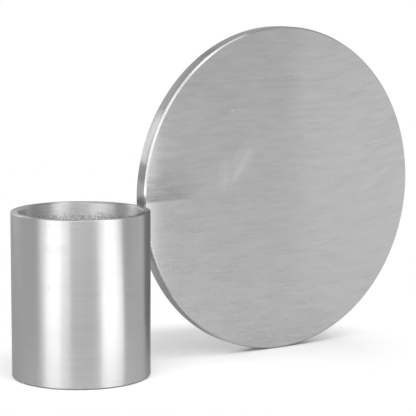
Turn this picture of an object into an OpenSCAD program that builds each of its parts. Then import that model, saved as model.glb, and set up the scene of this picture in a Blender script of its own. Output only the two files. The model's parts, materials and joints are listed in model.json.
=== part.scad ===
// Candle holder in cast and brushed aluminium: a thick-walled round cup for a
// pillar candle, with a large plain disc that stands on its rim beside the cup.
// Origin: centre of the face that the cup stands on. +Z is up. +X runs from the
// cup's axis to the centre of the disc, whose two flat faces are square to Y.
// Two countersunk screws go from inside the cup through its wall and a small
// saddle block into tapped holes in the disc's rim.

/* [Cup] */
// Outside diameter of the cup
cup_d = 81; // [74:0.5:110]
// Height of the metal cup, from its underside to its rim
cup_h = 96.5; // [75:0.5:140]
// Thickness of the cup's wall
cup_wall = 4.5; // [4:0.1:7]
// Thickness of the cup's floor
floor_t = 10; // [6:0.5:16]
// Fillet where the wall meets the floor inside
floor_fillet = 2; // [0.5:0.5:5]
// Chamfer on the inner edge of the rim
rim_chamfer = 0.8; // [0.3:0.1:1.5]
// Rounding of the outer edge of the rim
rim_round = 0.5; // [0.2:0.1:1.5]
// Rounding of the cup's bottom edge
base_round = 0.8; // [0.3:0.1:1.5]

/* [Disc] */
// Diameter of the standing disc
disc_d = 200; // [170:1:250]
// Thickness of the disc
disc_t = 10; // [8.5:0.1:16]
// Bevel round both faces of the disc
disc_bevel = 1; // [0.4:0.1:1.5]
// Clearance between the disc's rim and the cup's wall where they come closest
disc_gap = 0.1; // [0.1:0.05:1]

/* [Joint] */
// Depth of the upper screw's axis below the height where disc and cup meet
joint_drop = 12.8; // [12:0.1:18]
// Distance between the two screws
screw_pitch = 11; // [10:0.5:16]
// How far the saddle block reaches past each screw's axis
saddle_lap = 4.5; // [3.5:0.1:5.5]
// Chamfer on the saddle block's four long corners
saddle_chamfer = 0.8; // [0.2:0.1:1.2]
// Clearance between the seated faces of the joint
seat_gap = 0.05; // [0.02:0.01:0.1]

/* [Screws] */
// Nominal diameter of the screws
screw_d = 4; // [3:0.5:5]
// Diameter of the countersunk head
head_d = 8; // [7:0.5:9]
// Height of the cylindrical land round the head
head_land = 0.3; // [0.1:0.1:0.5]
// Width across flats of the hexagon socket
socket_w = 2.5; // [1.5:0.5:3]
// Depth of the hexagon socket
socket_depth = 1.6; // [1:0.1:2]
// Chamfer at the screw's end
screw_tip = 0.6; // [0.3:0.1:0.8]
// Length of thread that the lower screw has in the disc
thread_grip = 7.7; // [6:0.1:12]
// Radial clearance of a screw in its tapped hole
thread_gap = 0.05; // [0.02:0.01:0.1]
// Radial clearance of a screw in its through hole
hole_gap = 0.2; // [0.1:0.05:0.4]
// Depth of the tapped hole past the screw's end
drill_run = 3; // [1:0.5:5]

/* [Felt pad] */
// Thickness of the felt pad under the cup
felt_t = 1.5; // [1:0.1:3]
// How far the pad stands proud of the metal
felt_proud = 0.3; // [0.1:0.1:0.8]
// Width of the metal ring round the pad
felt_margin = 3; // [2:0.5:8]
// Clearance between the pad and its recess
felt_gap = 0.2; // [0.1:0.1:0.5]

/* [Hidden] */

$fn = 96;
// Straight pieces in a small rounded corner
round_steps = 6;
// Point angle of the drill that made the tapped holes
drill_angle = 118;
// Overrun of every cut past the face that it opens
overrun = 1;

// Cup, from the table up
cup_r = cup_d / 2;
bore_r = cup_r - cup_wall;
cup_z = felt_proud;
rim_z = cup_z + cup_h;
floor_z = cup_z + floor_t;

// Disc, standing on its rim with its nearest point beside the cup's wall
disc_r = disc_d / 2;
disc_x = cup_r + disc_gap + disc_r;

// Joint, measured down from where the disc comes closest to the cup
meet_z = min(rim_z, disc_r);
screw_zs = [meet_z - joint_drop, meet_z - joint_drop - screw_pitch];
saddle_top = screw_zs[0] + saddle_lap;
saddle_low = screw_zs[1] - saddle_lap;
saddle_w = disc_t - 2 * disc_bevel;
saddle_end = disc_edge_x(saddle_low);

// Screws, both of the length that the lower one needs
screw_r = screw_d / 2;
head_r = head_d / 2;
head_cone = head_r - screw_r;
hole_r = screw_r + hole_gap;
thread_r = screw_r + thread_gap;
sink_r = head_r + seat_gap;
screw_l = disc_edge_x(screw_zs[1]) - bore_r + thread_grip;

// Felt pad in the recess under the cup
recess_r = cup_r - felt_margin;
recess_top = felt_t;

// Points of a quarter or other arc about a centre, from one angle to another
function arc(centre, r, from, to) =
    [for (i = [0 : round_steps])
        let (a = from + (to - from) * i / round_steps)
        centre + r * [cos(a), sin(a)]];

// Where the disc's rim is, at a height, on the side that faces the cup
function disc_edge_x(z) = disc_x - sqrt(disc_r * disc_r - (z - disc_r) * (z - disc_r));

// Half outline of the cup: recess, bottom edge, wall, rim, bore and floor
function cup_outline() = concat(
    [[0, recess_top], [recess_r, recess_top], [recess_r, cup_z]],
    arc([cup_r - base_round, cup_z + base_round], base_round, -90, 0),
    arc([cup_r - rim_round, rim_z - rim_round], rim_round, 0, 90),
    [[bore_r + rim_chamfer, rim_z], [bore_r, rim_z - rim_chamfer]],
    arc([bore_r - floor_fillet, floor_z + floor_fillet], floor_fillet, 0, -90),
    [[0, floor_z]]
);

// Half outline of the disc, along its own axis
function disc_outline() = [
    [0, -disc_t / 2],
    [disc_r - disc_bevel, -disc_t / 2],
    [disc_r, -disc_t / 2 + disc_bevel],
    [disc_r, disc_t / 2 - disc_bevel],
    [disc_r - disc_bevel, disc_t / 2],
    [0, disc_t / 2]
];

// Half outline of a screw, from the flat of its head to its end
function screw_outline() = [
    [0, 0],
    [head_r, 0],
    [head_r, head_land],
    [screw_r, head_land + head_cone],
    [screw_r, screw_l - screw_tip],
    [screw_r - screw_tip, screw_l],
    [0, screw_l]
];

// Puts a child that runs along +Z on the axis of each screw, where its head lies
module at_screws() {
    for (z = screw_zs)
        translate([bore_r, 0, z])
            rotate([0, 90, 0])
                children();
}

// Clearance hole through the wall and the saddle block
module through_hole() {
    cylinder(r = hole_r, h = saddle_end - bore_r + overrun);
}

// Countersink and clearance hole, as cut from inside the cup
module countersunk_hole() {
    translate([0, 0, -overrun])
        cylinder(r = sink_r, h = overrun + head_land);
    translate([0, 0, head_land])
        cylinder(r1 = sink_r, r2 = hole_r, h = sink_r - hole_r);
    through_hole();
}

// Tapped hole in the disc's rim, with the cone that the drill leaves
module tapped_hole() {
    depth = screw_l + drill_run;
    translate([0, 0, cup_wall])
        cylinder(r = thread_r, h = depth - cup_wall);
    translate([0, 0, depth])
        cylinder(r1 = thread_r, r2 = 0, h = thread_r / tan(drill_angle / 2));
}

// Turns and moves a shape made about +Z to the disc's own axis
module at_disc() {
    translate([disc_x, 0, disc_r])
        rotate([90, 0, 0])
            children();
}

// Cast cup, turned and brushed outside, with a rough cast bore
module cup_body() {
    color([0.78, 0.78, 0.79])
        difference() {
            rotate_extrude($fn = 180)
                polygon(cup_outline());
            at_screws() countersunk_hole();
        }
}

// Round plate with bevelled edges that throws the candle's light back
module reflector_disc() {
    color([0.74, 0.74, 0.75])
        difference() {
            at_disc()
                rotate_extrude($fn = 240)
                    polygon(disc_outline());
            at_screws() tapped_hole();
        }
}

// Block that fills the gap between the round wall and the round rim of the disc
module saddle_block() {
    half_w = saddle_w / 2;
    inner_w = half_w - saddle_chamfer;
    block_h = saddle_top - saddle_low;
    color([0.7, 0.7, 0.71])
        difference() {
            translate([bore_r, 0, saddle_low])
                rotate([90, 0, 90])
                    linear_extrude(height = saddle_end - bore_r)
                        polygon([
                            [-inner_w, 0],
                            [inner_w, 0],
                            [half_w, saddle_chamfer],
                            [half_w, block_h - saddle_chamfer],
                            [inner_w, block_h],
                            [-inner_w, block_h],
                            [-half_w, block_h - saddle_chamfer],
                            [-half_w, saddle_chamfer]
                        ]);
            translate([0, 0, saddle_low - overrun])
                cylinder(r = cup_r + seat_gap, h = block_h + 2 * overrun, $fn = 180);
            at_disc()
                translate([0, 0, -saddle_w / 2 - overrun])
                    cylinder(r = disc_r + seat_gap, h = saddle_w + 2 * overrun, $fn = 240);
            at_screws() through_hole();
        }
}

// The two countersunk socket screws
module joint_screws() {
    color([0.55, 0.55, 0.57])
        at_screws()
            difference() {
                rotate_extrude()
                    polygon(screw_outline());
                translate([0, 0, -overrun])
                    cylinder(d = socket_w / cos(30), h = socket_depth + overrun, $fn = 6);
            }
}

// Felt pad that keeps the cup from scratching the table
module base_felt() {
    color([0.2, 0.2, 0.21])
        cylinder(r = recess_r - felt_gap, h = felt_t);
}

cup_body();
reflector_disc();
saddle_block();
joint_screws();
base_felt();
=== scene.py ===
import json
import math

import bmesh
import bpy
from bpy.props import FloatProperty, FloatVectorProperty, IntProperty, PointerProperty
from mathutils import Euler, Matrix, Vector


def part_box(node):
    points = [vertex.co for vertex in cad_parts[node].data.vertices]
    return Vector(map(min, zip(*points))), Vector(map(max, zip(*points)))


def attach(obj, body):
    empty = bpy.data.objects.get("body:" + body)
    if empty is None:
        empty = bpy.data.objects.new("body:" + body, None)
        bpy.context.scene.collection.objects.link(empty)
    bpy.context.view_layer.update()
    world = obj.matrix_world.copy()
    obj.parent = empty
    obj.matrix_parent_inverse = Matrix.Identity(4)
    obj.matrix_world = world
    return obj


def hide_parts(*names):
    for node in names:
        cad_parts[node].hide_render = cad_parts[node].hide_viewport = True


bl_info = {
    "name": "Candle Holder With Disc",
    "version": (1, 0, 0),
    "blender": (4, 5, 0),
    "location": "View3D > Sidebar > Candle Holder",
    "description": "Builds a brushed aluminium candle holder: a round cup with a standing disc",
    "category": "Add Mesh",
}

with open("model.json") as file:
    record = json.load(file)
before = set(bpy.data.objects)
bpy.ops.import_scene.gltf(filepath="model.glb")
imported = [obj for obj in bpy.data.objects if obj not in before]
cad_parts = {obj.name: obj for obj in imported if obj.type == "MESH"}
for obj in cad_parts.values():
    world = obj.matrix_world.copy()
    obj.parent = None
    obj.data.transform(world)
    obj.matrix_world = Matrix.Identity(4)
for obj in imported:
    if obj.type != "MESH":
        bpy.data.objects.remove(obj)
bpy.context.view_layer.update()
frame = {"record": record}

MM = 0.001
CUP_LOW, CUP_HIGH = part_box("cup_body")
DISC_LOW, DISC_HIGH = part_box("reflector_disc")
SADDLE_LOW, SADDLE_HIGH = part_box("saddle_block")
SCREW_LOW, SCREW_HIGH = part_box("joint_screws")
FELT_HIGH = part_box("base_felt")[1]
MOUNTS = {mount["name"]: mount for mount in frame["record"]["mounts"]}
BORE_RADIUS = MOUNTS["candle_bore"]["dims"]["r_mm"] * MM
FLOOR_HEIGHT = MOUNTS["candle_seat"]["pos_m"][2]
DRILL_ANGLE = math.radians(118)

# Rings that give the cast and the felted surfaces vertices to lift
BORE_CUTS = 84
FLOOR_RINGS = 12
FLOOR_RING_WIDTH = 2.6 * MM
FELT_RINGS = 24
FELT_RING_WIDTH = 1.5 * MM

# Widths of the lumps that casting and felting leave in the mesh
CAST_LUMPS = 1.6 * MM
FELT_LUMPS = 1.5 * MM

# Brushing: widths of its strokes, of its hairs and of its faint, worn and drifting areas
STROKE_WIDTH = 2.8 * MM
HAIR_WIDTH = 1.2 * MM
FAINT_AREA = 11 * MM
WORN_AREA = 7 * MM
DRIFT_AREA = 18 * MM
# How far strokes and hairs are drawn out, round the cup or along the disc's face
ROUND_STROKES = 0.09
ROUND_HAIRS = 0.03
FACE_STROKES = 0.16
FACE_HAIRS = 0.08
# On the face, strokes rise past this distance from the middle, by so many metres at a metre
RISE_FROM = 20 * MM
RISE = 1.8
# Depth of the brushing's height, and how much a stroke changes the roughness
BRUSHED_RELIEF = 0.002 * MM
BRUSHED_ROUGHNESS = 0.15

# Cast bore: width and reach of the ragged line where the turning ends, and the cast grains
RAGGED_WIDTH = 4 * MM
RAGGED_REACH = 12 * MM
CAST_GRAINS = 1.3 * MM
TURNED_RINGS = 1.2 * MM
CAST_RELIEF = 0.10 * MM

# Grain of the milled block and of the screws
MILLED_GRAIN = 0.4 * MM
STEEL_GRAIN = 0.25 * MM

# Dark streaks beside the joint: where they fade out across the disc, and the heights at which
# they begin and fade out
STREAKS_ACROSS = (44 * MM, 82 * MM)
STREAKS_FOOT = (98 * MM, 99.5 * MM)
STREAKS_TOP = (100 * MM, 126 * MM)
STREAK_WIDTH = 1.6 * MM

# Rubbed patches on the disc: place, slope in degrees, half length and half width, and strength,
# with the lengths in metres
DISC_RUBS = (
    ((0.111, 0, 0.119), 52, (0.019, 0.008), 0.19),
    ((0.098, 0, 0.113), 82, (0.014, 0.005), 0.13),
)
# Small marks of handling: place and half sizes in millimetres, and how much lighter the metal
# is there
CUP_FLECKS = (
    ((-33.9, -22.2, 58.0), (0.4, 0.4, 1.1), -0.35),
)
DISC_FLECKS = (
    ((103.2, -5.0, 150.4), (0.5, 1.0, 0.5), 0.60),
    ((124.6, -5.0, 169.5), (0.7, 1.0, 0.4), 0.35),
    ((150.2, -5.0, 183.9), (1.2, 1.0, 0.4), 0.15),
)


def length(name, description, default, **extra):
    """A property that holds a length in metres."""
    return FloatProperty(
        name=name, description=description, default=default, unit="LENGTH", precision=5, **extra
    )


def share(name, description, default):
    """A property that holds a share from 0 to 1."""
    return FloatProperty(
        name=name, description=description, default=default, min=0.0, max=1.0, subtype="FACTOR"
    )


def colour(name, description, default):
    """A property that holds a linear colour."""
    return FloatVectorProperty(
        name=name, description=description, default=default, min=0.0, max=1.0, subtype="COLOR"
    )


class CupSizes(bpy.types.PropertyGroup):
    """Sizes of the round cup that holds the candle."""

    radius: length("Radius", "Outside radius of the cup", CUP_HIGH.x)
    base: length("Base", "Height of the metal's underside over the table", CUP_LOW.z)
    rim: length("Rim", "Height of the rim over the table", CUP_HIGH.z)
    bore: length("Bore", "Radius of the candle's hole", BORE_RADIUS)
    floor: length("Floor", "Height of the floor that the candle stands on", FLOOR_HEIGHT)
    fillet: length("Fillet", "Rounding between the bore and its floor", 2 * MM)
    chamfer: length("Chamfer", "Chamfer on the inner edge of the rim", 0.8 * MM)
    rim_round: length("Rim rounding", "Rounding of the outer edge of the rim", 0.5 * MM)
    base_round: length("Base rounding", "Rounding of the bottom edge", 0.8 * MM)
    turned_depth: length("Turned depth", "Depth to which the bore was turned smooth", 7 * MM)
    cast_grain: length("Cast grain", "Height of the cast texture below that", 0.25 * MM)
    segments: IntProperty(name="Segments", description="Faces round the cup", default=320, min=32)


class DiscSizes(bpy.types.PropertyGroup):
    """Sizes of the standing disc."""

    radius: length("Radius", "Radius of the disc", (DISC_HIGH.x - DISC_LOW.x) / 2)
    thickness: length("Thickness", "Thickness of the disc", DISC_HIGH.y - DISC_LOW.y)
    centre_x: length("Centre", "Distance of the disc's centre from the cup's axis",
                     (DISC_HIGH.x + DISC_LOW.x) / 2)
    bevel: length("Bevel", "Bevel round both faces", 1 * MM)
    edge_break: length("Edge break", "Rounding where the bevel meets face and rim", 0.12 * MM)
    segments: IntProperty(name="Segments", description="Faces round the disc", default=480, min=32)


class JointSizes(bpy.types.PropertyGroup):
    """Sizes of the saddle block and the screws between cup and disc."""

    head_radius: length("Head radius", "Radius of the countersunk head",
                        (SCREW_HIGH.y - SCREW_LOW.y) / 2)
    shank_radius: length("Shank radius", "Radius over the thread", 2 * MM)
    thread_depth: length("Thread depth", "Depth of the thread", 0.43 * MM)
    pitch: length("Pitch", "Pitch of the thread", 0.7 * MM)
    land: length("Land", "Height of the land round the head", 0.3 * MM)
    socket_width: length("Socket", "Width across flats of the socket", 2.5 * MM)
    socket_depth: length("Socket depth", "Depth of the socket", 1.6 * MM)
    tip: length("Tip", "Chamfer at the screw's end", 0.6 * MM)
    drill_run: length("Drill run", "Depth of a tapped hole past its screw", 3 * MM)
    hole_radius: length("Hole radius", "Radius of the clearance holes", 2.2 * MM)
    seat_gap: length("Seat gap", "Clearance between seated faces", 0.05 * MM)
    saddle_chamfer: length("Saddle chamfer", "Chamfer on the block's long corners", 0.8 * MM)
    saddle_break: length("Saddle edge break", "Rounding of the block's cut edges", 0.15 * MM)


class FeltSizes(bpy.types.PropertyGroup):
    """Sizes of the felt pad under the cup."""

    radius: length("Radius", "Radius of the pad", FELT_HIGH.x)
    top: length("Top", "Height of the recess that holds the pad", FELT_HIGH.z)
    margin: length("Margin", "Width of the metal ring round the recess", 3 * MM)
    recess_break: length("Recess edge break", "Rounding of the recess's edge", 0.15 * MM)
    nap: length("Nap", "Height of the felt's uneven surface", 0.06 * MM)
    segments: IntProperty(name="Segments", description="Faces round the pad", default=160, min=32)


class Finish(bpy.types.PropertyGroup):
    """Colours and gloss of the metals and the felt."""

    cup: colour("Cup", "Brushed aluminium of the cup's side", (0.44, 0.44, 0.44))
    cup_rim: colour("Cup rim", "Turned rim and underside of the cup", (0.31, 0.31, 0.31))
    chamfer: colour("Chamfer", "Chamfer on the inner edge of the cup's rim", (0.42, 0.42, 0.42))
    # Painted highlight: the lip is lighter than the rim, so that the rounded edge shows a bright
    # line
    lip: colour("Lip", "Rounded outer edge of the cup's rim, bright from handling",
                (0.55, 0.55, 0.55))
    bore: colour("Bore", "Rough cast aluminium in the cup", (0.72, 0.72, 0.72))
    disc: colour("Disc", "Brushed aluminium of the disc's faces", (0.50, 0.50, 0.50))
    bevel: colour("Bevel", "Bright metal of the disc's bevels", (0.47, 0.47, 0.47))
    # Painted shade: the disc's rim is darker than its faces, standing in for the dark floor and
    # shadow that its lower part reflects
    disc_rim: colour("Disc rim", "Turned rim of the disc, a little darker", (0.36, 0.36, 0.36))
    saddle: colour("Saddle", "Milled aluminium of the saddle block", (0.48, 0.48, 0.49))
    steel: colour("Steel", "Steel of the screws", (0.50, 0.50, 0.52))
    felt: colour("Felt", "Grey pressed felt", (0.05, 0.05, 0.055))
    brushed: share("Cup roughness", "Roughness of the cup's brushed side", 0.38)
    disc_brushed: share("Disc roughness", "Roughness of the disc's brushed faces", 0.28)
    cast: share("Bore roughness", "Roughness of the cup's bore", 0.40)
    rim_turned: share("Rim roughness", "Roughness of the cup's turned rim", 0.34)
    bevel_turned: share("Bevel roughness", "Roughness of the disc's bevels", 0.26)
    disc_rim_turned: share("Disc rim roughness", "Roughness of the disc's rim", 0.18)
    saddle_milled: share("Saddle roughness", "Roughness of the saddle block", 0.38)
    steel_turned: share("Steel roughness", "Roughness of the screws", 0.30)
    grazing: share("Grazing", "How light the brushed metal stays at a grazing angle", 0.65)
    rim_grazing: share("Rim grazing", "The same for the cup's rim, chamfer and bore", 0.8)
    anisotropy: share("Brushing", "How strongly the brushing stretches a highlight", 1.0)


class Stage(bpy.types.PropertyGroup):
    """The photograph's camera, the floor and the light."""

    lens: FloatProperty(name="Lens", description="Focal length in millimetres", default=161.8)
    camera_at: FloatVectorProperty(
        name="Camera", description="Place of the camera", default=(-0.5389, -0.9283, 0.2504),
        subtype="TRANSLATION", unit="LENGTH",
    )
    azimuth: FloatProperty(
        name="Azimuth", description="Direction of view, turned from +Y towards +X",
        default=math.radians(34.075), subtype="ANGLE",
    )
    pitch: FloatProperty(
        name="Pitch", description="How far the camera looks down",
        default=math.radians(8.07), subtype="ANGLE",
    )
    roll: FloatProperty(
        name="Roll", description="How far the camera is turned about its line of sight",
        default=math.radians(0.2), subtype="ANGLE",
    )
    middle: FloatVectorProperty(
        name="Middle", description="Point of the floor under the object's middle",
        default=(0.07, 0.0, 0.0), subtype="TRANSLATION", unit="LENGTH",
    )
    shadow: length("Shadow", "Distance from the middle to which the floor is lit as it is", 0.115)
    white: length("White", "Distance from the middle at which the floor is plain white", 0.155)
    floor: colour("Floor", "Plain pale floor", (0.90, 0.90, 0.90))
    world: FloatProperty(name="World", description="Strength of the plain sky", default=0.67)


def deselect():
    """Back to object mode with nothing selected."""
    if bpy.context.object and bpy.context.object.mode != "OBJECT":
        bpy.ops.object.mode_set(mode="OBJECT")
    bpy.ops.object.select_all(action="DESELECT")


def only(piece):
    """Leaves one object selected and active."""
    deselect()
    piece.select_set(True)
    bpy.context.view_layer.objects.active = piece


def named(name):
    """Names the primitive that was just added, and puts its place in its mesh."""
    piece = bpy.context.object
    piece.name = name
    piece.data.name = name
    bpy.ops.object.transform_apply(location=True, rotation=True, scale=True)
    return piece


def cylinder(name, radius, start, end, segments=64, end_radius=None):
    """A closed cylinder, or a cone, between two points."""
    deselect()
    start, end = Vector(start), Vector(end)
    turn = (end - start).to_track_quat("Z", "Y").to_euler()
    bpy.ops.mesh.primitive_cone_add(
        vertices=segments, radius1=radius, radius2=radius if end_radius is None else end_radius,
        depth=(end - start).length, location=(start + end) / 2, rotation=turn,
    )
    return named(name)


def pick(piece, kind, test):
    """In edit mode, selects the faces, edges or vertices that pass a test."""
    bpy.ops.mesh.select_mode(type=kind)
    bpy.ops.mesh.select_all(action="DESELECT")
    mesh = bmesh.from_edit_mesh(piece.data)
    parts = {"FACE": mesh.faces, "EDGE": mesh.edges, "VERT": mesh.verts}[kind]
    for part in parts:
        if test(part):
            part.select_set(True)
    bmesh.update_edit_mesh(piece.data)


def flat_loop(edge, axis, level, radius, centre=Vector((0, 0, 0))):
    """True for an edge that lies on a circle about an axis, at a level along it."""
    slack = 0.02 * MM
    for vertex in edge.verts:
        from_centre = vertex.co - centre
        if abs(from_centre[axis] - level) > slack:
            return False
        from_centre[axis] = 0
        if abs(from_centre.length - radius) > slack:
            return False
    return True


def soften(piece, angle=30):
    """Smooth shading, with edges sharper than an angle kept."""
    only(piece)
    bpy.ops.object.shade_smooth_by_angle(angle=math.radians(angle))


def cut(piece, *cutters):
    """Cuts other closed shapes out of a piece, and removes them."""
    for cutter in cutters:
        only(piece)
        modifier = piece.modifiers.new("Cut", "BOOLEAN")
        modifier.operation = "DIFFERENCE"
        modifier.solver = "EXACT"
        modifier.object = cutter
        bpy.ops.object.modifier_apply(modifier=modifier.name)
        bpy.data.objects.remove(cutter)


def roughen(piece, group, texture_size, height):
    """Lifts the vertices of a group by a fine cloud pattern, as casting or felting leaves them."""
    texture = bpy.data.textures.new(piece.name + "_grain", "CLOUDS")
    texture.noise_scale = texture_size
    texture.noise_depth = 3
    only(piece)
    modifier = piece.modifiers.new("Grain", "DISPLACE")
    modifier.texture = texture
    modifier.texture_coords = "LOCAL"
    modifier.vertex_group = group
    modifier.strength = height
    modifier.mid_level = 0.5
    bpy.ops.object.modifier_apply(modifier=modifier.name)


def paint(piece, materials, choose):
    """Gives each face of a piece the material that choose names for it."""
    piece.data.materials.clear()
    names = list(materials)
    for name in names:
        piece.data.materials.append(materials[name])
    for face in piece.data.polygons:
        face.material_index = names.index(choose(face))


def settle(piece, node):
    """Rides a finished piece on the part's body, in the place of its CAD node."""
    deselect()
    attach(piece, "root")
    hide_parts(node)


class Bench:
    """A material's node tree, with short calls for the nodes that the finishes are made of."""

    def __init__(self, name):
        self.material = bpy.data.materials.new(name)
        self.material.use_nodes = True
        self.nodes = self.material.node_tree.nodes
        self.links = self.material.node_tree.links
        self.shader = self.nodes["Principled BSDF"]
        self.place = self.add("ShaderNodeTexCoord").outputs["Object"]

    def add(self, kind, **settings):
        """Adds a node and sets its own settings."""
        node = self.nodes.new(kind)
        for name, value in settings.items():
            setattr(node, name, value)
        return node

    def feed(self, socket, value):
        """Links an output to a socket, or sets its number or colour."""
        if isinstance(value, bpy.types.NodeSocket):
            self.links.new(value, socket)
        else:
            socket.default_value = value

    def maths(self, operation, first, second=0.0, third=0.0):
        """A sum on two or three numbers."""
        node = self.add("ShaderNodeMath", operation=operation)
        for socket, value in zip(node.inputs, (first, second, third)):
            self.feed(socket, value)
        return node.outputs[0]

    def vector(self, operation, first, second=(0, 0, 0)):
        """A sum on two vectors, which gives a vector or a number."""
        node = self.add("ShaderNodeVectorMath", operation=operation)
        self.feed(node.inputs[0], first)
        self.feed(node.inputs[1], second)
        return node.outputs["Value" if operation in {"LENGTH", "DOT_PRODUCT"} else "Vector"]

    def noise(self, place, size, detail=2.0, rough=0.5):
        """Noise whose features are about size metres wide, from 0 to 1."""
        node = self.add("ShaderNodeTexNoise")
        self.feed(node.inputs["Vector"], place)
        self.feed(node.inputs["Scale"], 1 / size)
        self.feed(node.inputs["Detail"], detail)
        self.feed(node.inputs["Roughness"], rough)
        return node.outputs["Fac"]

    def span(self, value, low, high, to_low, to_high):
        """Maps one range onto another, and holds the ends."""
        node = self.add("ShaderNodeMapRange")
        for socket, number in zip(node.inputs[:5], (value, low, high, to_low, to_high)):
            self.feed(socket, number)
        return node.outputs["Result"]

    def tint(self, colour, factor):
        """A colour made lighter or darker by a factor."""
        node = self.add("ShaderNodeVectorMath", operation="SCALE")
        self.feed(node.inputs[0], tuple(colour))
        self.feed(node.inputs["Scale"], factor)
        return node.outputs["Vector"]

    def bump(self, height, distance):
        """Uneven shading from a height between 0 and 1 that stands for a distance."""
        node = self.add("ShaderNodeBump")
        self.feed(node.inputs["Height"], height)
        self.feed(node.inputs["Distance"], distance)
        self.feed(node.inputs["Strength"], 1.0)
        self.feed(self.shader.inputs["Normal"], node.outputs["Normal"])

    def metal(self, colour, roughness, grazing=1.0):
        """Bare metal, darker by a factor where it is seen at a grazing angle."""
        self.feed(self.shader.inputs["Metallic"], 1.0)
        self.feed(self.shader.inputs["Specular Tint"], (grazing, grazing, grazing, 1.0))
        self.feed(self.shader.inputs["Base Color"], colour)
        self.feed(self.shader.inputs["Roughness"], roughness)

    def stretch_across(self, grooves, amount):
        """Stretches highlights across the grooves, whose direction is given."""
        normal = self.add("ShaderNodeNewGeometry").outputs["Normal"]
        across = self.vector("CROSS_PRODUCT", normal, grooves)
        self.feed(self.shader.inputs["Tangent"], self.vector("NORMALIZE", across))
        self.feed(self.shader.inputs["Anisotropic"], amount)


def squeezed(bench, place, factors):
    """Coordinates drawn out, so that noise on them makes long marks."""
    return bench.vector("MULTIPLY", place, factors)


def wavy(bench, place, drift):
    """Coordinates that drift a little from place to place, so that marks aren't ruled lines."""
    node = bench.add("ShaderNodeTexNoise")
    bench.feed(node.inputs["Vector"], place)
    bench.feed(node.inputs["Scale"], 1 / DRIFT_AREA)
    bench.feed(node.inputs["Detail"], 1.0)
    centred = bench.vector("SUBTRACT", node.outputs["Color"], (0.5, 0.5, 0.5))
    return bench.vector("ADD", place, bench.vector("MULTIPLY", centred, (drift, drift, drift)))


def brushing(bench, strokes, hairs, place, depth):
    """Short strokes with fine hairs between them, strong in some areas and faint in others:
    a factor for the tone, and the height of the surface."""
    broad = bench.noise(strokes, STROKE_WIDTH, 1.0)
    fine = bench.noise(hairs, HAIR_WIDTH, 1.0)
    areas = bench.noise(place, FAINT_AREA, 2.0, 0.6)
    worn = bench.noise(squeezed(bench, strokes, (2.0, 1.0, 1.0)), WORN_AREA)
    strength = bench.span(areas, 0.38, 0.62, 0.4, 1.0)
    mark = bench.maths("MULTIPLY", bench.maths("SUBTRACT", broad, 0.5), strength)
    hair = bench.maths("MULTIPLY", bench.maths("SUBTRACT", fine, 0.5), 0.3)
    height = bench.maths("ADD", mark, hair)
    shift = bench.maths("MULTIPLY_ADD", height, depth, 1.0)
    shift = bench.maths("ADD", shift, bench.span(worn, 0.3, 0.7, -depth / 15, depth / 15))
    return shift, height


def brushed_metal(bench, tone, shift, height, roughness, grazing, grooves, finish):
    """Bare metal with the tone, the height and the direction that its brushing gives it."""
    rough = bench.maths("MULTIPLY_ADD", height, BRUSHED_ROUGHNESS, roughness)
    bench.metal(bench.tint(tone, shift), rough, grazing)
    bench.bump(height, BRUSHED_RELIEF)
    bench.stretch_across(grooves, finish.anisotropy)


def rub(bench, centre, angle, reach, strength):
    """Faint rubbed lines on an upright face: place, slope, half length and half width."""
    node = bench.add("ShaderNodeMapping", vector_type="TEXTURE")
    bench.feed(node.inputs["Vector"], bench.place)
    node.inputs["Location"].default_value = centre
    node.inputs["Rotation"].default_value = (0, -math.radians(angle), 0)
    node.inputs["Scale"].default_value = (reach[0], 1, reach[1])
    flat = squeezed(bench, node.outputs["Vector"], (1, 0, 1))
    inside = bench.span(bench.vector("LENGTH", flat), 0.4, 1.0, 1.0, 0.0)
    lines = bench.noise(squeezed(bench, flat, (0.5, 0, 4.5)), 1.0, 1.0)
    return bench.maths("MULTIPLY", inside, bench.span(lines, 0.35, 0.60, 0.0, strength))


def fleck(bench, centre, reach, strength):
    """One small nick or bright speck, given by its place, its half sizes and its strength."""
    away = bench.vector("SUBTRACT", bench.place, Vector(centre) * MM)
    away = bench.vector("DIVIDE", away, Vector(reach) * MM)
    return bench.span(bench.vector("LENGTH", away), 0.5, 1.0, strength, 0.0)


def brushed_round(name, tone, finish, axis, centre, roughness, depth=0.30, grazing=None,
                  flecks=()):
    """Metal that was turned and brushed round an axis: rings of short strokes."""
    bench = Bench(name)
    place = bench.vector("SUBTRACT", bench.place, centre)
    turning = bench.vector("CROSS_PRODUCT", axis, place)
    flat = squeezed(bench, place, [0.0 if part else 1.0 for part in axis])
    outwards = bench.add("ShaderNodeCombineXYZ")
    bench.feed(outwards.inputs["X"], bench.vector("LENGTH", flat))

    def drawn_out(start, factor):
        """Coordinates that make marks long round the axis, and differ from ring to ring."""
        short = squeezed(bench, start, [1.0 if part else factor for part in axis])
        return bench.vector("ADD", short, outwards.outputs["Vector"])

    strokes = drawn_out(wavy(bench, place, 1.2 * MM), ROUND_STROKES)
    hairs = drawn_out(place, ROUND_HAIRS)
    shift, height = brushing(bench, strokes, hairs, place, depth)
    for mark in flecks:
        shift = bench.maths("ADD", shift, fleck(bench, *mark))
    brushed_metal(bench, tone, shift, height, roughness, grazing or finish.grazing, turning, finish)
    return bench.material


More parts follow.
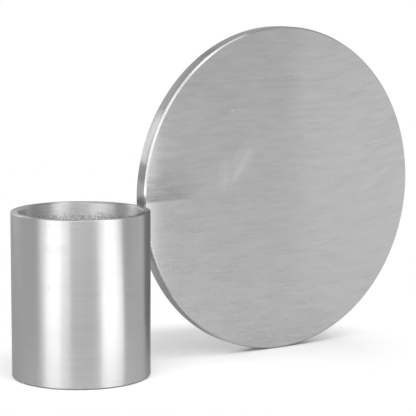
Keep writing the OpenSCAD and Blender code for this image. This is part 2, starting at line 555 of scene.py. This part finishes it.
def brushed_face(name, tone, finish, disc):
    """A disc face brushed in level strokes that rise towards the far end, with handling marks."""
    bench = Bench(name)
    parts = bench.add("ShaderNodeSeparateXYZ")
    bench.feed(parts.inputs["Vector"], bench.place)
    across, deep, up = parts.outputs
    past = bench.maths("MAXIMUM", bench.maths("SUBTRACT", across, disc.centre_x + RISE_FROM), 0.0)
    rise = bench.add("ShaderNodeCombineXYZ")
    bench.feed(rise.inputs["Z"], bench.maths("MULTIPLY", bench.maths("POWER", past, 2.0), -RISE))
    place = bench.vector("ADD", bench.place, rise.outputs["Vector"])
    strokes = squeezed(bench, wavy(bench, place, 1.6 * MM), (FACE_STROKES, 1.0, 1.0))
    hairs = squeezed(bench, place, (FACE_HAIRS, 1.0, 1.0))
    shift, height = brushing(bench, strokes, hairs, place, 0.36)
    # Darker streaks beside the joint, above the height of the cup's rim
    beside = bench.maths("MULTIPLY", bench.span(across, *STREAKS_ACROSS, 1.0, 0.0),
                         bench.span(up, *STREAKS_TOP, 1.0, 0.0))
    beside = bench.maths("MULTIPLY", beside, bench.span(up, *STREAKS_FOOT, 0.0, 1.0))
    streaks = bench.span(bench.noise(strokes, STREAK_WIDTH, 1.0), 0.3, 0.7, 0.28, 0.52)
    marks = bench.maths("MULTIPLY", bench.maths("MULTIPLY", beside, streaks), -1.0)
    for mark in DISC_RUBS:
        marks = bench.maths("ADD", marks, rub(bench, *mark))
    for mark in DISC_FLECKS:
        marks = bench.maths("ADD", marks, fleck(bench, *mark))
    # The marks are on the front face only
    front = bench.span(deep, -3 * MM, 3 * MM, 1.0, 0.0)
    shift = bench.maths("MULTIPLY_ADD", marks, front, shift)
    brushed_metal(bench, tone, shift, height, finish.disc_brushed, finish.grazing,
                  (1.0, 0.0, 0.0), finish)
    return bench.material


def cast_bore(name, tone, finish, cup):
    """A bore turned smooth near the rim, and left as it was cast below a ragged line."""
    bench = Bench(name)
    height = bench.vector("DOT_PRODUCT", bench.place, (0, 0, 1))
    ragged = bench.noise(bench.place, RAGGED_WIDTH, 4.0, 0.7)
    ragged = bench.maths("MULTIPLY_ADD", ragged, RAGGED_REACH, height)
    line = cup.rim - cup.turned_depth + RAGGED_REACH / 2
    cast = bench.span(ragged, line - 1.2 * MM, line + 0.8 * MM, 1.0, 0.0)
    grains = bench.noise(bench.place, CAST_GRAINS, 4.0, 0.65)
    rings = bench.noise(squeezed(bench, bench.place, (0.1, 0.1, 1.0)), TURNED_RINGS)
    smooth = bench.span(rings, 0.3, 0.7, 0.93, 1.05)
    coarse = bench.span(grains, 0.36, 0.64, 0.60, 1.25)
    blend = bench.add("ShaderNodeMix")
    for socket, value in zip(blend.inputs[0:1] + blend.inputs[2:4], (cast, smooth, coarse)):
        bench.feed(socket, value)
    rough = bench.maths("MULTIPLY_ADD", cast, 0.12, finish.cast)
    bench.metal(bench.tint(tone, blend.outputs[0]), rough, finish.rim_grazing)
    relief = bench.maths("MULTIPLY", grains, bench.span(cast, 0.0, 1.0, 0.12, 1.0))
    bench.bump(relief, CAST_RELIEF)
    turning = bench.vector("CROSS_PRODUCT", (0, 0, 1), bench.place)
    bench.stretch_across(turning, finish.anisotropy)
    return bench.material


def plain_metal(name, tone, roughness, grain_size):
    """Milled or rolled metal with a fine even grain."""
    bench = Bench(name)
    grain = bench.noise(bench.place, grain_size, 3.0, 0.6)
    bench.metal(bench.tint(tone, bench.span(grain, 0.3, 0.7, 0.93, 1.04)),
                bench.span(grain, 0.3, 0.7, roughness - 0.05, roughness + 0.05))
    bench.bump(grain, 0.01 * MM)
    return bench.material


def pressed_felt(name, tone):
    """Dense wool felt: matted fibres with lighter flecks."""
    bench = Bench(name)
    fibres = bench.noise(bench.place, 0.5 * MM, 5.0, 0.75)
    flecks = bench.noise(bench.place, 1.8 * MM, 3.0, 0.7)
    shift = bench.maths("ADD", bench.span(fibres, 0.3, 0.7, 0.6, 1.4),
                        bench.span(flecks, 0.55, 0.75, 0.0, 0.9))
    bench.feed(bench.shader.inputs["Base Color"], bench.tint(tone, shift))
    bench.feed(bench.shader.inputs["Roughness"], bench.span(fibres, 0.3, 0.7, 0.85, 1.0))
    bench.feed(bench.shader.inputs["Sheen Weight"], 0.3)
    bench.bump(fibres, 0.15 * MM)
    return bench.material


def screw_heights():
    """Heights of the upper and lower screw axes."""
    head = (SCREW_HIGH.y - SCREW_LOW.y) / 2
    return SCREW_HIGH.z - head, SCREW_LOW.z + head


class CANDLE_OT_cup(bpy.types.Operator):
    """Model the round cup, with its cast bore, chamfered rim and recess for the felt"""

    bl_idname = "candle.cup"
    bl_label = "Cup"

    def execute(self, context):
        cup, joint = context.scene.candle_cup, context.scene.candle_joint
        felt, finish = context.scene.candle_felt, context.scene.candle_finish
        piece = cylinder("cup", cup.radius, (0, 0, cup.base), (0, 0, cup.rim), cup.segments)
        bpy.ops.object.mode_set(mode="EDIT")
        pick(piece, "FACE", lambda f: f.normal.z > 0.9)
        self.sink(cup.radius - cup.bore, cup.floor - cup.rim)
        pick(piece, "FACE", lambda f: f.normal.z < -0.9)
        self.sink(felt.margin, felt.top - cup.base)
        recess = cup.radius - felt.margin
        self.round_edge(piece, cup.rim, cup.radius, cup.rim_round, segments=5)
        self.round_edge(piece, cup.rim, cup.bore, cup.chamfer, segments=1)
        self.round_edge(piece, cup.base, cup.radius, cup.base_round, segments=5)
        self.round_edge(piece, cup.base, recess, felt.recess_break, segments=2)
        self.round_edge(piece, cup.floor, cup.bore, cup.fillet, segments=6)
        self.divide_bore(piece, cup)
        self.ring_floor(piece, cup)
        bpy.ops.object.mode_set(mode="OBJECT")
        self.cast_texture(piece, cup)
        for height in screw_heights():
            cut(piece, *self.screw_cutters(cup, joint, height))
        self.dress(piece, cup, finish)
        soften(piece, 32)
        settle(piece, "cup_body")
        return {"FINISHED"}

    def sink(self, margin, rise):
        """Presses the picked end face in, with a margin left round it."""
        bpy.ops.mesh.inset(thickness=margin)
        bpy.ops.mesh.extrude_region_move(TRANSFORM_OT_translate={"value": (0, 0, rise)})

    def round_edge(self, piece, level, radius, size, segments):
        """Bevels one round edge of the cup."""
        pick(piece, "EDGE", lambda e: flat_loop(e, 2, level, radius))
        bpy.ops.mesh.bevel(offset=size, segments=segments, profile=0.5, affect="EDGES")

    def divide_bore(self, piece, cup):
        """Divides the bore's wall into rings, so that the cast texture has faces to lift."""
        def upright(edge):
            first, second = (v.co for v in edge.verts)
            tall = abs(first.z - second.z) > 20 * MM
            return tall and math.hypot(first.x, first.y) < cup.bore + 0.1 * MM

        pick(piece, "EDGE", upright)
        bpy.ops.mesh.subdivide(number_cuts=BORE_CUTS)

    def ring_floor(self, piece, cup):
        """Divides the floor into rings for the same reason."""
        for _ in range(FLOOR_RINGS):
            pick(piece, "FACE", lambda f: len(f.verts) == cup.segments and f.normal.z > 0.9)
            bpy.ops.mesh.inset(thickness=FLOOR_RING_WIDTH)

    def cast_texture(self, piece, cup):
        """Lifts the bore's wall and floor below the turned part, as casting leaves them."""
        group = piece.vertex_groups.new(name="cast")
        limit = cup.rim - cup.turned_depth
        inside = [v.index for v in piece.data.vertices
                  if cup.floor - MM < v.co.z < limit and math.hypot(v.co.x, v.co.y) < cup.bore + MM]
        group.add(inside, 1.0, "REPLACE")
        roughen(piece, "cast", CAST_LUMPS, cup.cast_grain)

    def screw_cutters(self, cup, joint, height):
        """The countersink and the clearance hole of one screw."""
        sink = joint.head_radius + joint.seat_gap
        cone_start = (cup.bore + joint.land, 0, height)
        cone_end = (cup.bore + joint.land + sink - joint.hole_radius, 0, height)
        hole_end = (cup.radius + MM, 0, height)
        yield cylinder("sink", sink, (cup.bore - MM, 0, height), cone_start)
        yield cylinder("cone", sink, cone_start, cone_end, end_radius=joint.hole_radius)
        yield cylinder("hole", joint.hole_radius, (cup.bore, 0, height), hole_end)

    def dress(self, piece, cup, finish):
        """Brushed side, turned rim, chamfer and underside, a lip made lighter as a painted
        highlight, cast bore.
        """
        def turned(name, tone, roughness, **extra):
            return brushed_round(name, tone, finish, (0, 0, 1), (0, 0, 0), roughness, 0.2, **extra)

        materials = {
            "side": turned("Cup side", finish.cup, finish.brushed, flecks=CUP_FLECKS),
            "rim": turned("Cup rim", finish.cup_rim, finish.rim_turned, grazing=finish.rim_grazing),
            "chamfer": turned("Cup chamfer", finish.chamfer, finish.rim_turned,
                              grazing=finish.rim_grazing),
            # The lip's lighter colour is a painted highlight along the rim's rounded edge
            "lip": turned("Cup lip", finish.lip, finish.rim_turned),
            "bore": cast_bore("Cup bore", finish.bore, finish, cup),
        }

        def choose(face):
            height = face.center.z
            across = math.hypot(face.center.x, face.center.y)
            if across > cup.radius - 0.05 * MM:
                return "side"
            if height > cup.rim - cup.rim_round and across > cup.radius - cup.rim_round:
                return "lip"
            if height > cup.rim - 0.9 * cup.chamfer and across < cup.bore + 0.9 * cup.chamfer:
                return "chamfer"
            if height > cup.rim - cup.chamfer or height < cup.base + cup.base_round:
                return "rim"
            return "bore" if height > cup.floor - MM else "rim"

        paint(piece, materials, choose)


class CANDLE_OT_disc(bpy.types.Operator):
    """Model the standing disc, with a bright bevel round each face"""

    bl_idname = "candle.disc"
    bl_label = "Disc"

    def execute(self, context):
        disc, joint = context.scene.candle_disc, context.scene.candle_joint
        finish = context.scene.candle_finish
        middle = Vector((disc.centre_x, 0, disc.radius))
        half = disc.thickness / 2
        piece = cylinder("disc", disc.radius, middle + Vector((0, half, 0)),
                         middle - Vector((0, half, 0)), disc.segments)
        bpy.ops.object.mode_set(mode="EDIT")
        inner = disc.radius - disc.bevel
        self.round_edges(piece, middle, half, disc.radius, disc.bevel, segments=1)
        self.round_edges(piece, middle, half, inner, disc.edge_break, segments=3)
        self.round_edges(piece, middle, half - disc.bevel, disc.radius, disc.edge_break, segments=3)
        bpy.ops.object.mode_set(mode="OBJECT")
        for height in screw_heights():
            cut(piece, *self.tapped_hole(joint, height))
        self.dress(piece, middle, disc, finish)
        soften(piece)
        settle(piece, "reflector_disc")
        return {"FINISHED"}

    def round_edges(self, piece, middle, level, radius, size, segments):
        """Bevels the round edges at a level on both sides of the disc's middle."""
        for side in (level, -level):
            pick(piece, "EDGE", lambda e: flat_loop(e, 1, side, radius, middle))
            bpy.ops.mesh.bevel(offset=size, segments=segments, affect="EDGES")

    def tapped_hole(self, joint, height):
        """The hole for one screw, with the cone that the drill leaves."""
        radius = joint.shank_radius + joint.seat_gap
        depth = SCREW_HIGH.x + joint.drill_run
        tip = depth + radius / math.tan(DRILL_ANGLE / 2)
        yield cylinder("tapped", radius, (DISC_LOW.x - MM, 0, height), (depth, 0, height))
        yield cylinder("drill", radius, (depth - 0.01 * MM, 0, height), (tip, 0, height),
                       end_radius=0)

    def dress(self, piece, middle, disc, finish):
        """Straight brushed faces, turned rim and bright bevels."""
        materials = {
            "face": brushed_face("Disc face", finish.disc, finish, disc),
            "bevel": brushed_round("Disc bevel", finish.bevel, finish, (0, 1, 0), middle,
                                   finish.bevel_turned, 0.15),
            # The rim's darker colour is painted shade
            "rim": brushed_round("Disc rim", finish.disc_rim, finish, (0, 1, 0), middle,
                                 finish.disc_rim_turned),
        }

        def choose(face):
            if abs(face.normal.y) > 0.95:
                return "face"
            return "rim" if abs(face.normal.y) < 0.2 else "bevel"

        paint(piece, materials, choose)


class CANDLE_OT_saddle(bpy.types.Operator):
    """Model the saddle block that fills the gap between cup and disc"""

    bl_idname = "candle.saddle"
    bl_label = "Saddle block"

    def execute(self, context):
        cup, disc = context.scene.candle_cup, context.scene.candle_disc
        joint, finish = context.scene.candle_joint, context.scene.candle_finish
        low = Vector((cup.bore, SADDLE_LOW.y, SADDLE_LOW.z))
        high = SADDLE_HIGH
        deselect()
        bpy.ops.mesh.primitive_cube_add(size=1, location=(low + high) / 2, scale=high - low)
        piece = named("saddle")
        bpy.ops.object.mode_set(mode="EDIT")
        pick(piece, "EDGE", lambda e: abs(e.verts[0].co.x - e.verts[1].co.x) > MM)
        bpy.ops.mesh.bevel(offset=joint.saddle_chamfer, segments=1, affect="EDGES")
        bpy.ops.object.mode_set(mode="OBJECT")
        middle = Vector((disc.centre_x, 0, disc.radius))
        wide = Vector((0, disc.thickness, 0))
        cut(
            piece,
            cylinder("cup_seat", cup.radius + joint.seat_gap, (0, 0, low.z - MM),
                     (0, 0, high.z + MM), cup.segments),
            cylinder("disc_seat", disc.radius + joint.seat_gap, middle - wide, middle + wide,
                     disc.segments),
            *[cylinder("hole", joint.hole_radius, (cup.bore, 0, height), (high.x + MM, 0, height))
              for height in screw_heights()],
        )
        self.break_edges(piece, joint.saddle_break)
        material = plain_metal("Saddle metal", finish.saddle, finish.saddle_milled, MILLED_GRAIN)
        paint(piece, {"all": material}, lambda face: "all")
        soften(piece)
        settle(piece, "saddle_block")
        return {"FINISHED"}

    def break_edges(self, piece, size):
        """Takes the sharpness off the block's cut edges."""
        only(piece)
        modifier = piece.modifiers.new("Break", "BEVEL")
        modifier.width = size
        modifier.segments = 2
        modifier.limit_method = "ANGLE"
        modifier.angle_limit = math.radians(40)
        bpy.ops.object.modifier_apply(modifier=modifier.name)


class CANDLE_OT_screws(bpy.types.Operator):
    """Model the two countersunk socket screws"""

    bl_idname = "candle.screws"
    bl_label = "Joint screws"

    def execute(self, context):
        cup, joint = context.scene.candle_cup, context.scene.candle_joint
        finish = context.scene.candle_finish
        material = plain_metal("Screw steel", finish.steel, finish.steel_turned, STEEL_GRAIN)
        for name, height in zip(("upper_screw", "lower_screw"), screw_heights()):
            piece = self.screw(name, cup.bore, SCREW_HIGH.x, height, joint)
            paint(piece, {"all": material}, lambda face: "all")
            soften(piece)
            settle(piece, "joint_screws")
        return {"FINISHED"}

    def screw(self, name, head_x, end_x, height, joint):
        """One screw along +X, with its head's face at head_x."""
        cone = joint.head_radius - joint.shank_radius
        piece = cylinder(name, joint.head_radius, (head_x, 0, height),
                         (head_x + joint.land, 0, height))
        bpy.ops.object.mode_set(mode="EDIT")
        self.extend(piece, cone, joint.shank_radius / joint.head_radius, height)
        shank = end_x - joint.tip - head_x - joint.land - cone
        turns = int((shank - joint.pitch) / joint.pitch)
        root = 1 - joint.thread_depth / joint.shank_radius
        self.extend(piece, shank - turns * joint.pitch, 1, height)
        for _ in range(turns):
            self.extend(piece, joint.pitch / 2, root, height)
            self.extend(piece, joint.pitch / 2, 1 / root, height)
        self.extend(piece, joint.tip, 1 - joint.tip / joint.shank_radius, height)
        bpy.ops.object.mode_set(mode="OBJECT")
        socket = cylinder("socket", joint.socket_width / 2 / math.cos(math.radians(30)),
                          (head_x - MM, 0, height), (head_x + joint.socket_depth, 0, height), 6)
        cut(piece, socket)
        return piece

    def extend(self, piece, distance, narrowing, height):
        """Draws out the screw's far end, narrower by a factor."""
        far = max(v.co.x for v in bmesh.from_edit_mesh(piece.data).verts)
        limit = far - 0.01 * MM
        pick(piece, "FACE", lambda f: f.normal.x > 0.9 and f.calc_center_median().x > limit)
        bpy.ops.mesh.extrude_region_move(TRANSFORM_OT_translate={"value": (distance, 0, 0)})
        if narrowing != 1:
            bpy.ops.transform.resize(
                value=(1, narrowing, narrowing), center_override=(far + distance, 0, height)
            )


class CANDLE_OT_felt(bpy.types.Operator):
    """Model the felt pad under the cup"""

    bl_idname = "candle.felt"
    bl_label = "Felt pad"

    def execute(self, context):
        felt, finish = context.scene.candle_felt, context.scene.candle_finish
        piece = cylinder("felt_pad", felt.radius, (0, 0, felt.nap), (0, 0, felt.top),
                         felt.segments)
        bpy.ops.object.mode_set(mode="EDIT")
        for side in (1, -1):
            for _ in range(FELT_RINGS):
                pick(piece, "FACE",
                     lambda f: f.normal.z * side > 0.9 and len(f.verts) == felt.segments)
                bpy.ops.mesh.inset(thickness=FELT_RING_WIDTH)
        bpy.ops.object.mode_set(mode="OBJECT")
        group = piece.vertex_groups.new(name="nap")
        group.add([v.index for v in piece.data.vertices], 1.0, "REPLACE")
        roughen(piece, "nap", FELT_LUMPS, felt.nap)
        paint(piece, {"all": pressed_felt("Felt", finish.felt)}, lambda face: "all")
        soften(piece, 40)
        settle(piece, "base_felt")
        return {"FINISHED"}


# Upright soft panels round the object, like the walls of a light tent: name, azimuth of the two
# ends from the camera's side (right is positive), bottom, top, distance and radiance
PANELS = (
    ("left_core", -50, -24, 0.004, 0.45, 0.38, 0.90),
    ("left_soft", -66, -12, 0.004, 0.45, 0.38, 1.05),
    ("left_foot", -50, -26, 0.002, 0.05, 0.16, 2.30),
    ("left_foot_soft", -58, -14, 0.002, 0.10, 0.22, 1.10),
    ("left_band", -138, -116, 0.147, 0.270, 0.20, 1.60),
    ("front_high", -24, 32, 0.20, 0.45, 0.38, 0.95),
    ("front_low", -24, 26, 0.004, 0.20, 0.38, 0.30),
    ("left_high", -50, -24, 0.45, 0.65, 0.38, 1.80),
    ("centre_high", -16, 8, 0.45, 0.62, 0.38, 1.60),
    ("near_high", 42, 66, 0.34, 0.60, 0.20, 3.00),
    ("near_core", 40, 62, 0.004, 0.34, 0.20, 0.45),
    ("near_soft", 28, 69, 0.004, 0.34, 0.20, 1.00),
    ("near_foot", 32, 68, 0.002, 0.05, 0.13, 2.60),
    ("right_core", 40, 60, 0.004, 0.40, 0.32, 0.60),
    ("right_end", 90, 110, 0.004, 0.30, 0.38, 0.15),
    ("far_side", 110, 135, 0.004, 0.30, 0.38, 0.35),
    ("rear", 150, 185, 0.16, 0.45, 0.38, 0.40),
    ("rear_left", 190, 235, 0.12, 0.45, 0.38, 0.50),
    ("top_band", -90, -50, 0.45, 0.60, 0.38, 1.20),
)
# Level soft panels over the object, facing down: name, width, depth, centre and radiance
ROOFS = (
    ("roof_front", 0.54, 0.30, (-0.02, -0.20, 0.60), 1.30),
)


class CANDLE_OT_stage(bpy.types.Operator):
    """Set up the photograph's camera, the pale floor and the soft light"""

    bl_idname = "candle.stage"
    bl_label = "Stage"

    def execute(self, context):
        stage = context.scene.candle_stage
        self.camera(context, stage)
        self.floor(stage)
        self.world(context, stage)
        for panel in PANELS:
            self.panel(context, stage, *panel)
        for roof in ROOFS:
            self.roof(context, *roof)
        context.scene.view_settings.view_transform = "Standard"
        return {"FINISHED"}

    def camera(self, context, stage):
        """The photograph's camera, solved from the outlines of cup and disc."""
        data = bpy.data.cameras.new("camera")
        data.lens = stage.lens
        data.sensor_width = 36
        data.clip_start = 0.01
        data.clip_end = 50
        camera = bpy.data.objects.new("camera", data)
        context.scene.collection.objects.link(camera)
        turn = Euler((math.pi / 2 - stage.pitch, 0, -stage.azimuth)).to_matrix()
        roll = Matrix.Rotation(stage.roll, 3, "Z")
        camera.matrix_world = Matrix.Translation(stage.camera_at) @ (turn @ roll).to_4x4()
        context.scene.camera = camera

    def floor(self, stage):
        """A plain pale floor, lit as it is near the object and plain white further out."""
        deselect()
        bpy.ops.mesh.primitive_plane_add(size=24, location=(0, 0, -0.02 * MM))
        floor = named("floor")
        bench = Bench("Floor")
        bench.feed(bench.shader.inputs["Base Color"], (*stage.floor, 1))
        bench.feed(bench.shader.inputs["Roughness"], 0.9)
        bench.feed(bench.shader.inputs["Specular IOR Level"], 0.0)
        ray = bench.add("ShaderNodeLightPath").outputs
        seen = bench.maths("MAXIMUM", ray["Is Camera Ray"], ray["Is Glossy Ray"])
        seen = bench.maths("MAXIMUM", seen, ray["Is Transmission Ray"])
        from_object = bench.vector("SUBTRACT", bench.place, stage.middle)
        from_object = squeezed(bench, from_object, (1.0, 1.5, 1.0))
        distance = bench.vector("LENGTH", from_object)
        away = bench.span(distance, stage.shadow, stage.white, 0.0, 1.0)
        white = bench.add("ShaderNodeEmission")
        mix = bench.add("ShaderNodeMixShader")
        bench.feed(mix.inputs[0], bench.maths("MULTIPLY", seen, away))
        bench.feed(mix.inputs[1], bench.shader.outputs["BSDF"])
        bench.feed(mix.inputs[2], white.outputs["Emission"])
        bench.feed(bench.nodes["Material Output"].inputs["Surface"], mix.outputs["Shader"])
        floor.data.materials.append(bench.material)

    def world(self, context, stage):
        """A plain white sky."""
        world = bpy.data.worlds.new("World")
        world.use_nodes = True
        background = world.node_tree.nodes["Background"]
        background.inputs["Color"].default_value = (1, 1, 1, 1)
        background.inputs["Strength"].default_value = stage.world
        context.scene.world = world

    def panel(self, context, stage, name, first, last, bottom, top, distance, radiance):
        """An upright soft panel that faces the cup's axis."""
        turn = math.radians((first + last) / 2) - stage.azimuth
        outwards = Vector((math.sin(turn), -math.cos(turn), 0))
        width = 2 * distance * math.tan(math.radians((last - first) / 2))
        place = outwards * distance + Vector((0, 0, (bottom + top) / 2))
        self.lamp(context, name, (width, top - bottom), place, outwards, radiance)

    def roof(self, context, name, width, depth, place, radiance):
        """A level soft panel that faces down."""
        self.lamp(context, name, (width, depth), Vector(place), Vector((0, 0, 1)), radiance)

    def lamp(self, context, name, size, place, back, radiance):
        """A rectangular lamp, given by its size, its place and the direction behind it."""
        data = bpy.data.lights.new(name, "AREA")
        data.shape = "RECTANGLE"
        data.size, data.size_y = size
        data.energy = radiance * math.pi * data.size * data.size_y
        lamp = bpy.data.objects.new(name, data)
        context.scene.collection.objects.link(lamp)
        lamp.visible_camera = False
        lamp.location = place
        lamp.rotation_euler = back.to_track_quat("Z", "Y").to_euler()


class CANDLE_PT_panel(bpy.types.Panel):
    """Lists the candle holder's pieces and their sizes"""

    bl_idname = "CANDLE_PT_panel"
    bl_label = "Candle Holder"
    bl_space_type = "VIEW_3D"
    bl_region_type = "UI"
    bl_category = "Candle Holder"

    def draw(self, context):
        for heading, group, operators in SECTIONS:
            column = self.layout.column(align=True)
            column.label(text=heading)
            settings = getattr(context.scene, group)
            for name in settings.__annotations__:
                column.prop(settings, name)
            for operator in operators:
                column.operator(operator)


SECTIONS = (
    ("Cup", "candle_cup", ("candle.cup",)),
    ("Disc", "candle_disc", ("candle.disc",)),
    ("Joint", "candle_joint", ("candle.saddle", "candle.screws")),
    ("Felt", "candle_felt", ("candle.felt",)),
    ("Finish", "candle_finish", ()),
    ("Stage", "candle_stage", ("candle.stage",)),
)
SETTINGS = {
    "candle_cup": CupSizes,
    "candle_disc": DiscSizes,
    "candle_joint": JointSizes,
    "candle_felt": FeltSizes,
    "candle_finish": Finish,
    "candle_stage": Stage,
}
CLASSES = (
    *SETTINGS.values(), CANDLE_OT_cup, CANDLE_OT_disc, CANDLE_OT_saddle, CANDLE_OT_screws,
    CANDLE_OT_felt, CANDLE_OT_stage, CANDLE_PT_panel,
)


def register():
    """Registers the classes, and gives the scene its settings."""
    for cls in CLASSES:
        bpy.utils.register_class(cls)
    for name, group in SETTINGS.items():
        setattr(bpy.types.Scene, name, PointerProperty(type=group))


def unregister():
    """Takes both away again."""
    for name in SETTINGS:
        delattr(bpy.types.Scene, name)
    for cls in reversed(CLASSES):
        bpy.utils.unregister_class(cls)


def main():
    """Builds the stage and the pieces."""
    register()
    bpy.ops.candle.stage()
    bpy.ops.candle.cup()
    bpy.ops.candle.disc()
    bpy.ops.candle.saddle()
    bpy.ops.candle.screws()
    bpy.ops.candle.felt()


if __name__ == "__main__":
    main()
